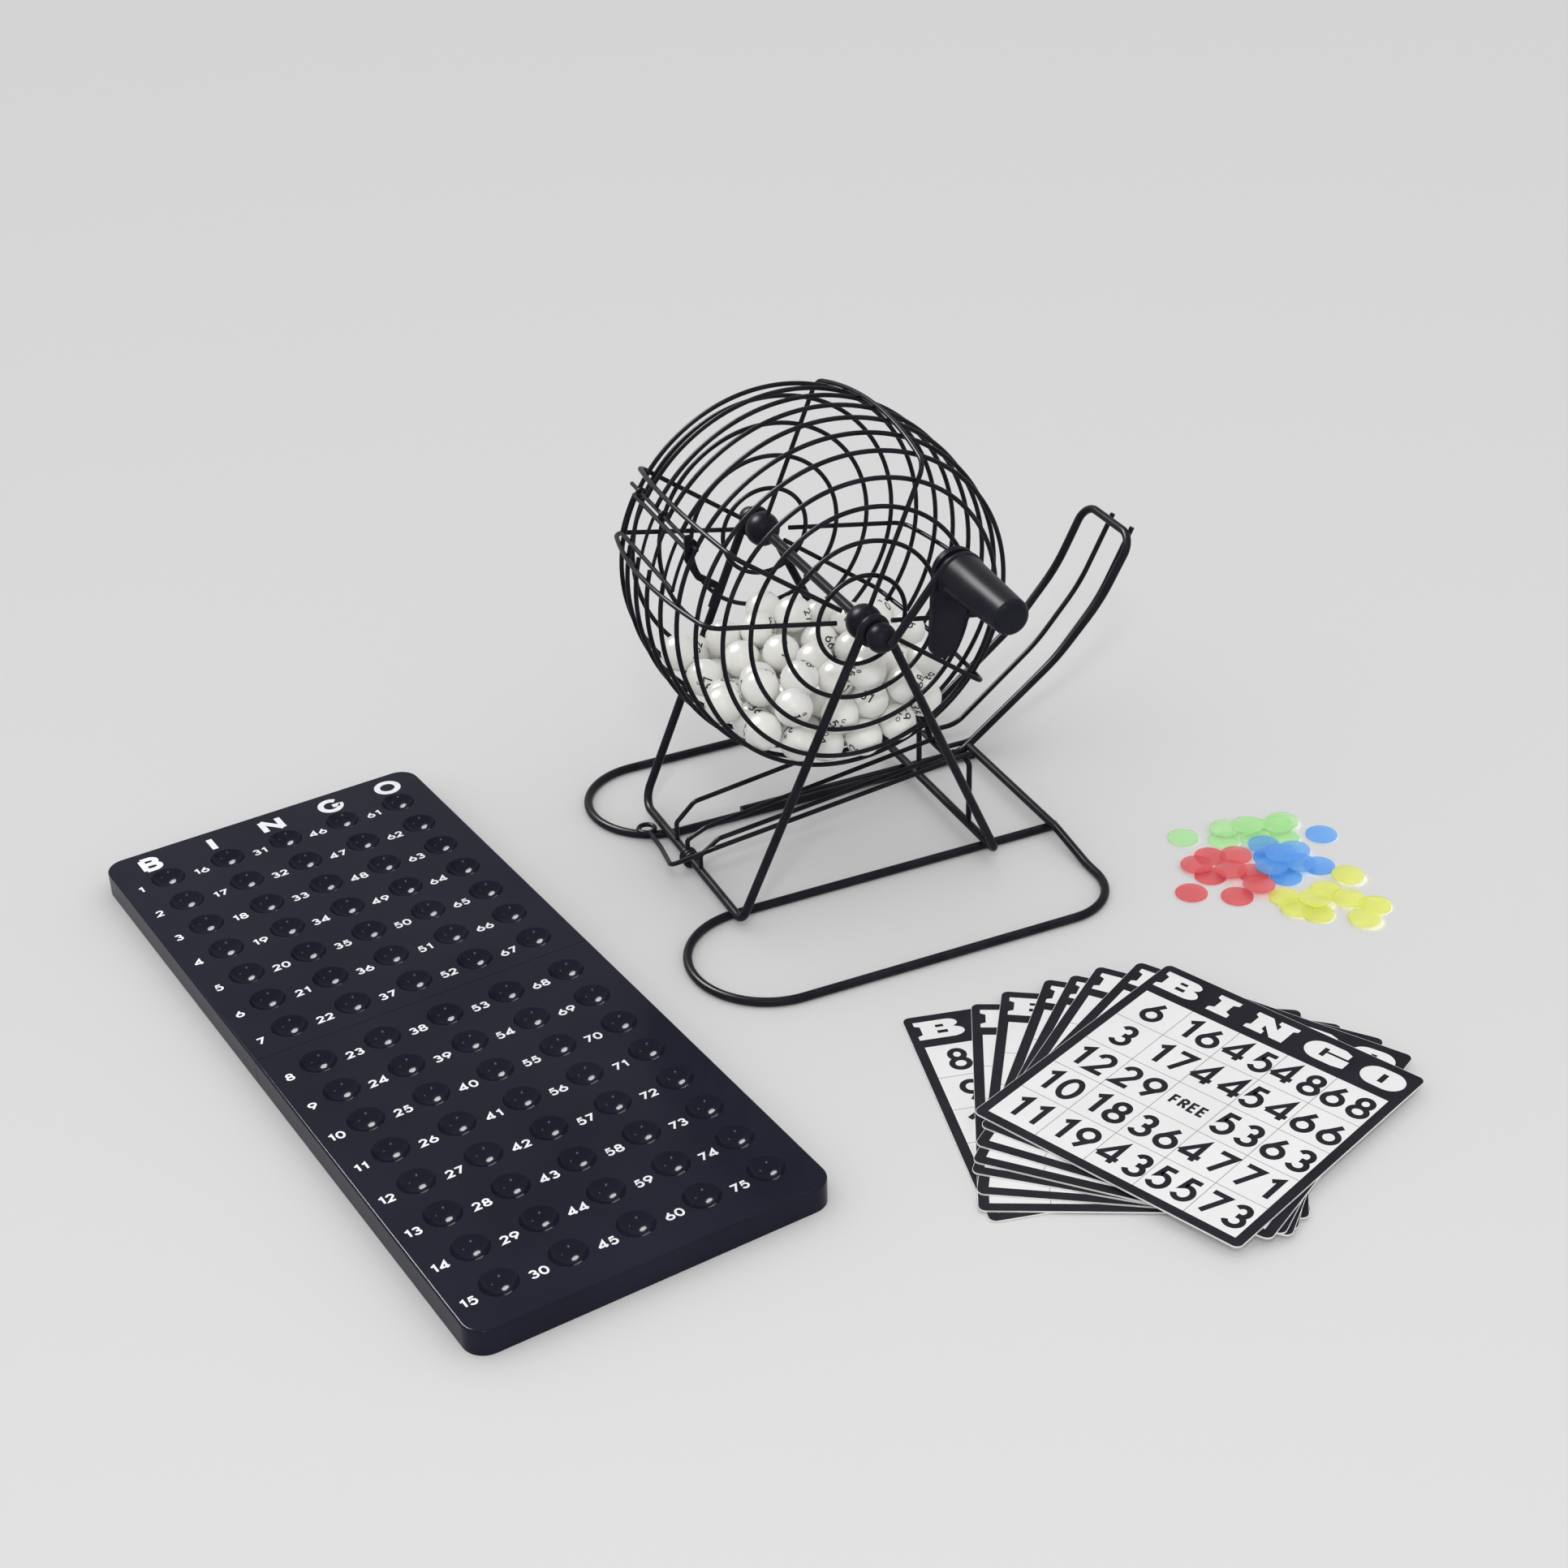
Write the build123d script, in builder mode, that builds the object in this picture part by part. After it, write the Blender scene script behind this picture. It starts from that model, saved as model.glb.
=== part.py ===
from build123d import *
from math import asin, atan2, cos, degrees, hypot, radians, sin, sqrt, tan
import os

os.makedirs("parts", exist_ok=True)

# A bingo game laid out on a table: a wire ball cage that turns in a wire stand, the balls in it,
# a master board in two halves, a fan of cards and four heaps of chips.
# The stand is measured from the point on the table under the middle of its cage. X runs along
# the base wires, Y along the cage's axis, and the crank is at the low end of Y.

# Place of the stand in the whole set
stand_x = 56.92
stand_y = 135.11

# Gaps between pieces
weld_gap = 0.03
rest_gap = 0.3
running_gap = 0.08

# Balls
ball_diameter = 22.2
ball_rows = (8, 5, 2)
layer_count = 5

# Cage
cage_face_y = 65.0
cage_wire = 2.7
rib_wire = 2.8
cage_radius = 102.2
face_ring_shares = (0.2642, 0.4648, 0.6624, 0.8258)
swell = 6.5
side_pitch = 18.0
side_rings = 7
rib_turns = (169.0, 67.0, -10.0, -37.0, 143.6)
tied_rib = 1
rib_inner_radius = 17.5
rib_corner = 9.0

# Hubs and axle
hub_ball_radius = 10.4
hub_cap_radius = 8.6
far_cap_radius = 6.5
neck_radius = 4.0
axle_radius = 3.0
stub_radius = 2.6
stub_y = 5.0
stub_drop = 3.4

# Gate
hinge_turn = 149.0
latch_turn = 165.0
hinge_rod = 2.4
gate_wire = 2.6
gate_cross_wire = 2.0
eye_wire = 2.0
rod_nub = 6.0
catch_width = 4.0
catch_thick = 1.5
catch_eye_radius = 3.4
catch_shares = ((-0.874, 0.572), (-0.876, 0.430), (-0.822, 0.318), (-0.706, 0.232), (-0.752, 0.118))
catch_corner = 3.0

# Crank and grip
crank_wire = 4.6
crank_tail = 0.5
crank_reach_x = 36.2
crank_reach_z = 44.2
grip_x = 41.5
grip_z = 34.7
plate_thick = 4.0
plate_top_radius = 13.5
plate_low_radius = 8.5
plate_low_x = 34.8
plate_low_z = -8.4
pin_radius = 2.25
pin_head_radius = 4.2
pin_head = 1.5
grip_length = 59.0
grip_neck_radius = 13.0
grip_tip_radius = 10.4
grip_flare_radius = 14.0
grip_flare = 3.0
grip_end_round = 4.0
grip_wall = 8.0

# Base wires
base_wire = 5.2
front_bar_y = -58.0
front_bar_low_y = -151.0
front_round_x = -80.0
front_nub_x = 134.0
side_arm_x = 128.0
front_corner = 35.0
back_bar_y = 40.0
back_bar_high_y = 124.6
back_round_x = -72.0
back_nub_x = 133.5
round_flat = 0.4
lower_run_x = -30.0

# Ramp
ramp_foot_x = 122.8
ramp_far_y = 97.0
taper_x = 70.0
ramp_knee_x = 191.0
ramp_knee_z = 55.9
ramp_bend_x = 220.5
ramp_bend_z = 89.7
ramp_top_x = 241.6
ramp_top_z = 130.4
ramp_corner = 12.0
ramp_foot_corner = 20.0
ramp_bend_radius = 110.0
floor_wire = 3.3
floor_wire_near_y = 50.0
floor_wire_far_y = 73.2
tie_x = 110.0
tie_wire = 2.6
tie_overhang = 3.0
floor_nub = 4.0

# Uprights
upright_wire = 5.2
eye_collar = 5.9
rail_x = 83.0
foot_y = 74.0
foot_stub = 18.0
near_foot_corner = 6.0
far_foot_corner = 12.0

# Trough under the cage
trough_wire = 2.9
trough_rear_y = 21.0
trough_front_y = -36.0
trough_high_z = 54.3
rear_fall = 21.0
front_fall = 18.8
cage_clearance = 16.15
bracket_wire = 3.4
bracket_shelf = 4.0
bracket_corner = 3.0
bracket_drop = 9.5
floor_near_y = -14.8
floor_far_y = 5.0
floor_near_fall = 17.7
floor_far_fall = 21.0
trough_corner = 6.0
stop_x = -104.0
stop_y = -20.0
stop_z = 21.0
stop_low_x = -95.0
stop_low_y = 19.0
stop_low_z = 9.5
stop_corner = 8.0
eyelet_radius = 4.9
wrap_turns = 3

# Master board
board_x = -403.2
board_y = 143.6
board_turn = 7.6
board_width = 201.2
board_length = 488.5
board_height = 14.8
board_wall = 2.0
board_corner = 12.0
board_edge = 1.2
board_gap = 0.3
dimple_columns = 5
dimple_rows = 15
far_rows = 7
dimple_first_x = 28.1
dimple_first_y = 35.0
dimple_pitch_x = 37.3
dimple_pitch_y = 29.82
seam_extra = 8.6
dimple_depth = 6.0
dimple_play = 0.3
cup_wall = 1.6

# Cards: each place is the card's upper left corner and its turn, the lowest card first
card_width = 163.0
card_length = 174.0
card_thick = 0.9
card_corner = 4.0
fan_x = 111.7
fan_y = -220.5
fan_shares = (
    (-0.875, 0.166, -12.6),
    (-0.645, 0.132, -27.3),
    (-0.528, 0.143, -33.2),
    (-0.376, 0.132, -42.2),
    (-0.292, 0.109, -47.1),
    (-0.198, 0.106, -51.8),
    (-0.072, 0.061, -59.4),
    (0.0, 0.0, -67.2),
)

# Chips: each place is x, y and the layer in the heap, in shares of the chip's diameter and height
chip_diameter = 19.0
chip_thick = 1.3
chip_edge = 0.3
chips_x = 220.0
chips_y = -155.0
green_shares = ((-1.25, 2.72, 0), (-0.2, 2.0, 0), (1.1, 2.3, 0), (2.05, 2.05, 1), (1.6, 1.3, 0),
                (0.17, 2.5, 1), (0.72, 1.6, 1), (1.7, 1.85, 2), (0.8, 2.15, 3))
blue_shares = ((2.75, 0.9, 0), (0.5, 0.5, 0), (1.62, -0.6, 0), (0.35, -0.65, 0), (1.4, 0.45, 1),
               (0.66, 1.05, 2), (1.06, -0.35, 2), (0.1, -0.2, 3), (0.7, 0.2, 4))
red_shares = ((-1.1, 1.4, 0), (-1.7, 0.45, 0), (-2.74, -0.1, 0), (-1.6, -0.9, 0), (-0.5, -0.1, 1),
              (-1.8, 1.1, 1), (-0.4, 1.0, 1), (-1.05, 0.3, 2), (-0.75, -0.8, 2))
yellow_shares = ((-0.33, -1.6, 0), (0.05, -2.8, 0), (1.0, -1.85, 0), (2.05, -1.5, 1), (1.85, -3.2, 0),
                 (1.1, -3.7, 1), (-0.4, -2.3, 1), (0.35, -2.2, 2), (1.3, -2.6, 1))

ball_radius = ball_diameter / 2
face_rib_y = cage_face_y + (cage_wire + rib_wire) / 2 + weld_gap
half_barrel = side_pitch * (side_rings - 1) / 2
barrel_radius = (half_barrel**2 + swell**2) / (swell * 2)
rib_offset = (cage_wire + rib_wire) / 2 + weld_gap
hub_height = trough_high_z + trough_wire / 2 + cage_clearance + cage_radius + rib_offset + rib_wire / 2
eye_radius = neck_radius + running_gap + eye_collar / 2
eye_y = face_rib_y + sqrt((hub_ball_radius + eye_collar / 2 + rest_gap) ** 2 - eye_radius**2)
cap_y = eye_y + sqrt((hub_cap_radius + eye_collar / 2 + rest_gap) ** 2 - eye_radius**2)
far_cap_y = eye_y + sqrt((far_cap_radius + eye_collar / 2 + rest_gap) ** 2 - eye_radius**2)
base_z = base_wire / 2
rail_z = base_wire + weld_gap + upright_wire / 2
rail_top = rail_z + upright_wire / 2
on_rail_z = rail_top + weld_gap


def at(x, y, z):
    return (stand_x + x, stand_y + y, z)


def ring_radius(y):
    return cage_radius - barrel_radius + sqrt(barrel_radius**2 - y**2)


def on_cage(radius, turn, y):
    return at(radius * cos(radians(turn)), y, hub_height + radius * sin(radians(turn)))


cage_axis = Axis(at(0, 0, hub_height), (0, -1, 0))


def bent_wire(points, corners, thickness):
    with BuildPart() as bent:
        with BuildLine() as path:
            if len(points) > 2:
                FilletPolyline(*points, radius=corners)
            else:
                Line(*points)
        with BuildSketch(Plane(origin=path.line @ 0, z_dir=path.line % 0)):
            Circle(thickness / 2)
        sweep(path=path.line)
    return bent.part


def cage_arc(y, radius, start, arc, thickness):
    # an arc of wire round the cage's axis, from one turn through an angle
    middle = on_cage(radius, start, y)
    along = (-sin(radians(start)), 0, cos(radians(start)))
    with BuildPart() as bow:
        with BuildSketch(Plane(origin=middle, x_dir=(0, 1, 0), z_dir=along)):
            Circle(thickness / 2)
        revolve(axis=cage_axis, revolution_arc=arc)
    return bow.part


# Side rings of the cage. The gate takes the place of an arc of four of them.
ring_ys = [side_pitch * step - half_barrel for step in range(side_rings)]
gate_low_y = ring_ys[1]
gate_high_y = ring_ys[-1]
for count, ring_y in enumerate(ring_ys):
    radius = ring_radius(ring_y)
    if gate_low_y < ring_y < gate_high_y:
        upper = degrees(asin((hinge_rod / 2 + weld_gap) / radius))
        lower = degrees(asin((gate_wire / 2 + rest_gap) / radius))
        start = latch_turn + lower
        ring_part = cage_arc(ring_y, radius, start, 360 + hinge_turn - upper - start, cage_wire)
        with BuildPart() as side_ring:
            add(ring_part)
    else:
        with BuildPart() as side_ring:
            with Locations(Location(at(0, ring_y, hub_height), (90, 0, 0))):
                Torus(radius, cage_wire / 2)
    side_ring.part.label = f"side_ring_{count + 1}"
    export_step(side_ring.part, f"parts/side_ring_{count + 1}.step")

# Rings on the two faces
with BuildPart() as near_face_rings:
    with Locations(Location(at(0, -cage_face_y, hub_height), (90, 0, 0))):
        for share in face_ring_shares:
            Torus(cage_radius * share, cage_wire / 2)
near_face_rings.part.label = "near_face_rings"
export_step(near_face_rings.part, "parts/near_face_rings.step")

with BuildPart() as far_face_rings:
    with Locations(Location(at(0, cage_face_y, hub_height), (90, 0, 0))):
        for share in face_ring_shares:
            Torus(cage_radius * share, cage_wire / 2)
far_face_rings.part.label = "far_face_rings"
export_step(far_face_rings.part, "parts/far_face_rings.step")

# Ribs, each one wire down the near face, over the side and up the far face
rib_arc_radius = barrel_radius + rib_offset
rib_mid = cage_radius + rib_offset
rib_end = rib_mid - rib_arc_radius + sqrt(rib_arc_radius**2 - face_rib_y**2)
for count, turn in enumerate(rib_turns):
    inner = hub_ball_radius + weld_gap if count == tied_rib else rib_inner_radius
    outward = (cos(radians(turn)), 0, sin(radians(turn)))
    side = Plane(origin=at(0, 0, hub_height), x_dir=(0, 1, 0), z_dir=Vector(0, 1, 0).cross(Vector(*outward)))
    with BuildPart() as rib:
        with BuildLine(side) as rib_path:
            Line((-face_rib_y, inner), (-face_rib_y, rib_end))
            ThreePointArc((-face_rib_y, rib_end), (0, rib_mid), (face_rib_y, rib_end))
            Line((face_rib_y, rib_end), (face_rib_y, inner))
            corners = rib_path.vertices().sort_by(Axis(at(0, 0, hub_height), outward))[-2:]
            fillet(corners, radius=rib_corner)
        with BuildSketch(Plane(origin=rib_path.line @ 0, z_dir=rib_path.line % 0)):
            Circle(rib_wire / 2)
        sweep(path=rib_path.line)
    rib.part.label = f"rib_{count + 1}"
    export_step(rib.part, f"parts/rib_{count + 1}.step")

# Hubs: a ball on the cage's face and a neck that runs in the eye of the stand
hub_plane = Plane(origin=at(0, 0, hub_height), x_dir=(1, 0, 0), z_dir=(0, -1, 0))
with BuildPart() as near_hub:
    with Locations(at(0, -face_rib_y, hub_height)):
        Sphere(hub_ball_radius)
    with BuildSketch(hub_plane.offset(face_rib_y)):
        Circle(neck_radius)
    extrude(amount=cap_y - face_rib_y)
near_hub.part.label = "near_hub"
export_step(near_hub.part, "parts/near_hub.step")

with BuildPart() as near_cap:
    with Locations(at(0, -cap_y, hub_height)):
        Sphere(hub_cap_radius)
    with BuildSketch(hub_plane.offset(cap_y + weld_gap)):
        Circle(neck_radius + weld_gap)
    extrude(amount=-hub_cap_radius * 2, mode=Mode.SUBTRACT)
near_cap.part.label = "near_cap"
export_step(near_cap.part, "parts/near_cap.step")

with BuildPart() as far_hub:
    with Locations(at(0, face_rib_y, hub_height)):
        Sphere(hub_ball_radius)
    with Locations(at(0, far_cap_y, hub_height)):
        Sphere(far_cap_radius)
    with BuildSketch(hub_plane.offset(-face_rib_y)):
        Circle(neck_radius)
    extrude(amount=face_rib_y - far_cap_y)
far_hub.part.label = "far_hub"
export_step(far_hub.part, "parts/far_hub.step")

# Axle between the hubs, with a small stub under it
axle_half = face_rib_y - hub_ball_radius - weld_gap
with BuildPart() as axle:
    with BuildSketch(hub_plane.offset(axle_half)):
        Circle(axle_radius)
    extrude(amount=-axle_half * 2)
    with Locations(at(0, stub_y, hub_height - stub_drop)):
        Sphere(stub_radius)
axle.part.label = "axle"
export_step(axle.part, "parts/axle.step")

# Gate: a rod welded over two whole rings and the ends of the cut ones, and a wire frame hung on it
line_offset = (cage_wire + hinge_rod) / 2 + weld_gap
latch_offset = (cage_wire + gate_wire) / 2 + rest_gap
low_line = ring_radius(gate_low_y)
high_line = ring_radius(gate_high_y)
line_slope = (high_line - low_line) / (gate_high_y - gate_low_y)


def line_radius(y, offset):
    return low_line + (y - gate_low_y) * line_slope + offset


def along_gate(y, turn, offset):
    return on_cage(line_radius(y, offset), turn, y)


hinge_run = (along_gate(gate_low_y - rod_nub, hinge_turn, line_offset),
             along_gate(gate_high_y + rod_nub, hinge_turn, line_offset))
hinge_rod_part = bent_wire(hinge_run, 0, hinge_rod)
with BuildPart() as gate_rod:
    add(hinge_rod_part)
gate_rod.part.label = "gate_rod"
export_step(gate_rod.part, "parts/gate_rod.step")

catch_y = gate_low_y + cage_wire / 2 + rest_gap + catch_thick / 2
frame_low_y = catch_y + catch_thick / 2 + weld_gap + gate_wire / 2
frame_high_y = gate_high_y - cage_wire / 2 - rest_gap - gate_wire / 2
eye_mid = hinge_rod / 2 + running_gap + eye_wire / 2
bar_drop = eye_mid + (eye_wire + gate_wire) / 3
upper_turn = hinge_turn + degrees(asin(bar_drop / low_line))
cross_ys = [frame_low_y] + [y for y in ring_ys if gate_low_y < y < gate_high_y] + [frame_high_y]
gate_bars = [
    bent_wire((along_gate(frame_low_y, turn, latch_offset), along_gate(frame_high_y, turn, latch_offset)),
              0, gate_wire)
    for turn in (upper_turn, latch_turn)
]
gate_bars += [
    cage_arc(y, line_radius(y, latch_offset), upper_turn, latch_turn - upper_turn, gate_cross_wire)
    for y in cross_ys
]
rod_direction = Vector(*hinge_run[1]) - Vector(*hinge_run[0])
eye_ys = (ring_ys[3] + side_pitch / 2, ring_ys[5] + side_pitch / 2)
with BuildPart() as gate_frame:
    for bar in gate_bars:
        add(bar)
    for eye_place in eye_ys:
        eye_plane = Plane(origin=along_gate(eye_place, hinge_turn, line_offset), z_dir=rod_direction)
        with Locations(eye_plane.location):
            Torus(eye_mid, eye_wire / 2)
gate_frame.part.label = "gate_frame"
export_step(gate_frame.part, "parts/gate_frame.step")

catch_points = [
    at(share_x * cage_radius, catch_y, hub_height + share_z * cage_radius)
    for share_x, share_z in catch_shares
]
catch_centre = along_gate(catch_y, hinge_turn, line_offset)
catch_plane = Plane(origin=catch_centre, x_dir=(1, 0, 0), z_dir=(0, 1, 0))
with BuildPart() as gate_catch:
    with BuildLine() as catch_path:
        FilletPolyline(*catch_points, radius=catch_corner)
    with BuildSketch(Plane(origin=catch_path.line @ 0, x_dir=(0, 1, 0), z_dir=catch_path.line % 0)):
        Rectangle(catch_thick, catch_width)
    sweep(path=catch_path.line)
    with BuildSketch(catch_plane):
        Circle(catch_eye_radius)
    extrude(amount=catch_thick / 2, both=True)
    with BuildSketch(Plane(origin=catch_centre, z_dir=rod_direction)):
        Circle(hinge_rod / 2 + running_gap)
    extrude(amount=catch_thick * 2, both=True, mode=Mode.SUBTRACT)
gate_catch.part.label = "gate_catch"
export_step(gate_catch.part, "parts/gate_catch.step")

# Crank: a wire across the cap, a plate behind its end, and a pin through the plate for the grip
plate_front_y = cap_y + hub_cap_radius
crank_y = plate_front_y + weld_gap + crank_wire / 2
crank_length = hypot(crank_reach_x, crank_reach_z)
tail_share = crank_tail / crank_length
crank_part = bent_wire((at(-crank_reach_x * tail_share, -crank_y, hub_height - crank_reach_z * tail_share),
                        at(crank_reach_x, -crank_y, hub_height + crank_reach_z)), 0, crank_wire)
with BuildPart() as crank_arm:
    add(crank_part)
    chamfer(crank_arm.faces().filter_by(GeomType.PLANE).edges(), crank_wire / 8)
crank_arm.part.label = "crank_arm"
export_step(crank_arm.part, "parts/crank_arm.step")

with BuildPart() as crank_plate:
    with BuildSketch(hub_plane.offset(plate_front_y)):
        with Locations((grip_x, grip_z)):
            Circle(plate_top_radius)
        with Locations((plate_low_x, plate_low_z)):
            Circle(plate_low_radius)
        make_hull()
        with Locations((grip_x, grip_z)):
            Circle(pin_radius + weld_gap, mode=Mode.SUBTRACT)
    extrude(amount=-plate_thick)
crank_plate.part.label = "crank_plate"
export_step(crank_plate.part, "parts/crank_plate.step")

grip_start_y = crank_y + crank_wire / 2 + rest_gap
bore_length = grip_length - grip_wall
pin_plane = Plane(origin=at(grip_x, -plate_front_y + plate_thick, hub_height + grip_z), z_dir=(0, -1, 0))
with BuildPart() as grip_pin:
    with BuildSketch(pin_plane.offset(-weld_gap)):
        Circle(pin_head_radius)
    extrude(amount=-pin_head)
    with BuildSketch(pin_plane.offset(-weld_gap)):
        Circle(pin_radius)
    extrude(amount=weld_gap + plate_thick + grip_start_y - plate_front_y + bore_length - rest_gap)
grip_pin.part.label = "grip_pin"
export_step(grip_pin.part, "parts/grip_pin.step")

grip_plane = Plane(origin=at(grip_x, -grip_start_y, hub_height + grip_z), x_dir=(1, 0, 0), z_dir=(0, 0, 1))
with BuildPart() as grip:
    with BuildSketch(grip_plane):
        with BuildLine():
            Polyline((0, 0), (grip_flare_radius, 0), (grip_flare_radius, -grip_flare / 2),
                     (grip_neck_radius, -grip_flare), (grip_tip_radius, -grip_length), (0, -grip_length),
                     close=True)
        make_face()
        fillet(vertices().group_by(Axis.Y)[0].sort_by(Axis.X)[-1], grip_end_round)
    revolve(axis=Axis(at(grip_x, -grip_start_y, hub_height + grip_z), (0, 1, 0)))
    with BuildSketch(Plane(origin=at(grip_x, -grip_start_y, hub_height + grip_z), z_dir=(0, -1, 0))):
        Circle(pin_radius + running_gap)
    extrude(amount=bore_length, mode=Mode.SUBTRACT)
grip.part.label = "grip"
export_step(grip.part, "parts/grip.step")

# Balls in layers along the axis, each layer in rows that follow the cage's wall. They stay inside
# the gate's straight rod, and a slot between the first layer and the others lets the gate's catch
# strip pass, so that the cage turns round them.
wall_reach = ball_radius + cage_wire / 2 + rest_gap
ball_step = ball_diameter + rest_gap
layer_limit = cage_face_y - cage_wire / 2 - rest_gap - ball_radius
slot_low = catch_y - catch_thick / 2 - rest_gap - ball_radius
slot_high = catch_y + catch_thick / 2 + rest_gap + ball_radius
packed_length = ball_step * (layer_count - 2)
layer_ys = [(slot_low - layer_limit) / 2] + [
    (slot_high + layer_limit - packed_length) / 2 + ball_step * step for step in range(layer_count - 1)
]
letter_names = ("b", "i", "n", "g", "o")
for letter, layer_y in zip(letter_names, layer_ys):
    wall_row = min(ring_radius(y) - sqrt(wall_reach**2 - (y - layer_y) ** 2)
                   for y in ring_ys if abs(y - layer_y) < wall_reach)
    outer_row = min(wall_row, line_radius(layer_y, line_offset - hinge_rod / 2 - rest_gap - ball_radius))
    places = []
    for row, row_count in enumerate(ball_rows):
        row_radius = outer_row - ball_step * row
        row_turn = degrees(asin(ball_step / 2 / row_radius)) * 2
        for step in range(row_count):
            places.append(on_cage(row_radius, row_turn * (step - (row_count - 1) / 2) - 90, layer_y))
    with BuildPart() as balls:
        with Locations(places):
            Sphere(ball_radius)
    balls.part.label = f"balls_{letter}"
    export_step(balls.part, f"parts/balls_{letter}.step")

# Front base loop: one wire, its arm rises to cross over the front bar and lies on the back bar
arm_z = base_wire + weld_gap + base_z
front_radius = (front_bar_y - front_bar_low_y - round_flat) / 2
front_left_x = front_round_x - front_radius
front_loop_part = bent_wire(
    (at(front_nub_x, front_bar_y, base_z), at(front_left_x, front_bar_y, base_z),
     at(front_left_x, front_bar_low_y, base_z), at(side_arm_x, front_bar_low_y, base_z),
     at(side_arm_x, (front_bar_y + front_bar_low_y) / 2, base_z),
     at(side_arm_x, front_bar_y - base_wire * 2, arm_z), at(side_arm_x, back_bar_y + base_wire / 3, arm_z)),
    (front_radius, front_radius, front_corner, front_corner, front_corner), base_wire)
with BuildPart() as front_base_loop:
    add(front_loop_part)
front_base_loop.part.label = "front_base_loop"
export_step(front_base_loop.part, "parts/front_base_loop.step")

# Back loop and ramp: one wire from the back bar round the left, along, up the ramp, over the top
# and down again to a run beside the back bar
back_radius = (back_bar_high_y - back_bar_y - round_flat) / 2
back_left_x = back_round_x - back_radius
run_y = back_bar_y + base_wire + weld_gap
ramp_profile = ((ramp_foot_x, base_z), (ramp_knee_x, ramp_knee_z), (ramp_bend_x, ramp_bend_z),
                (ramp_top_x, ramp_top_z))
up_side = [at(x, ramp_far_y, z) for x, z in ramp_profile]
down_side = [
    at(x, back_bar_y + (run_y - back_bar_y) * (ramp_top_z - z) / (ramp_top_z - base_z), z)
    for x, z in reversed(ramp_profile)
]
ramp_wire_part = bent_wire(
    [at(back_nub_x, back_bar_y, base_z), at(back_left_x, back_bar_y, base_z),
     at(back_left_x, back_bar_high_y, base_z), at(taper_x, back_bar_high_y, base_z)]
    + up_side + down_side + [at(lower_run_x, run_y, base_z)],
    (back_radius, back_radius, ramp_foot_corner, ramp_foot_corner, ramp_bend_radius, ramp_bend_radius,
     ramp_corner, ramp_corner, ramp_bend_radius, ramp_bend_radius, ramp_foot_corner), base_wire)
with BuildPart() as ramp_loop:
    add(ramp_wire_part)
ramp_loop.part.label = "ramp_loop"
export_step(ramp_loop.part, "parts/ramp_loop.step")

# Ramp floor wires: they lie under the hoop, follow the sides and end on a cross tie
under = (base_wire + floor_wire) / 2 + weld_gap
tie_z = base_wire + weld_gap + tie_wire / 2


def shifted(profile, drop):
    slopes = [atan2(b[1] - a[1], b[0] - a[0]) for a, b in zip(profile, profile[1:])]
    moved = []
    for place, (x, z) in enumerate(profile):
        before = slopes[max(place - 1, 0)]
        after = slopes[min(place, len(slopes) - 1)]
        middle = (before + after) / 2
        reach = drop / cos((after - before) / 2)
        moved.append((x + reach * sin(middle), z - reach * cos(middle)))
    return moved, slopes


low_profile, ramp_slopes = shifted(ramp_profile, under)
start_x = low_profile[0][0] + (tie_z - low_profile[0][1]) / tan(ramp_slopes[0])
end_x = low_profile[-1][0] + floor_nub * cos(ramp_slopes[-1])
end_z = low_profile[-1][1] + floor_nub * sin(ramp_slopes[-1])
floor_profile = [(tie_x, tie_z), (start_x, tie_z)] + low_profile[1:-1] + [(end_x, end_z)]
floor_parts = [
    bent_wire([at(x, y, z) for x, z in floor_profile],
              (ramp_foot_corner, ramp_bend_radius, ramp_bend_radius), floor_wire)
    for y in (floor_wire_near_y, floor_wire_far_y)
]
tie_part = bent_wire((at(tie_x, back_bar_y - tie_overhang, tie_z),
                      at(tie_x, floor_wire_far_y + tie_overhang, tie_z)), 0, tie_wire)
with BuildPart() as ramp_floor:
    add(tie_part)
    for floor_part in floor_parts:
        add(floor_part)
ramp_floor.part.label = "ramp_floor"
export_step(ramp_floor.part, "parts/ramp_floor.step")


# Upright arches: a leg from each rail up to an eye that holds the hub's neck
def arch(side, corner):
    legs = [
        bent_wire((at(across * rail_x, side * (foot_y - foot_stub), rail_z),
                   at(across * rail_x, side * foot_y, rail_z),
                   at(across * eye_radius, side * eye_y, hub_height)), corner, upright_wire)
        for across in (-1, 1)
    ]
    with BuildPart() as frame:
        for leg in legs:
            add(leg)
        with Locations(Location(at(0, side * eye_y, hub_height), (90, 0, 0))):
            Torus(eye_radius, eye_collar / 2)
    return frame.part


near_arch_part = arch(-1, near_foot_corner)
with BuildPart() as near_arch:
    add(near_arch_part)
near_arch.part.label = "near_arch"
export_step(near_arch.part, "parts/near_arch.step")

far_arch_part = arch(1, far_foot_corner)
with BuildPart() as far_arch:
    add(far_arch_part)
far_arch.part.label = "far_arch"
export_step(far_arch.part, "parts/far_arch.step")

rail_half = foot_y - foot_stub - weld_gap
left_rail_part = bent_wire((at(-rail_x, -rail_half, rail_z), at(-rail_x, rail_half, rail_z)), 0, upright_wire)
with BuildPart() as left_rail:
    add(left_rail_part)
left_rail.part.label = "left_rail"
export_step(left_rail.part, "parts/left_rail.step")

right_rail_part = bent_wire((at(rail_x, -rail_half, rail_z), at(rail_x, rail_half, rail_z)), 0, upright_wire)
with BuildPart() as right_rail:
    add(right_rail_part)
right_rail.part.label = "right_rail"
export_step(right_rail.part, "parts/right_rail.step")

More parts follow.
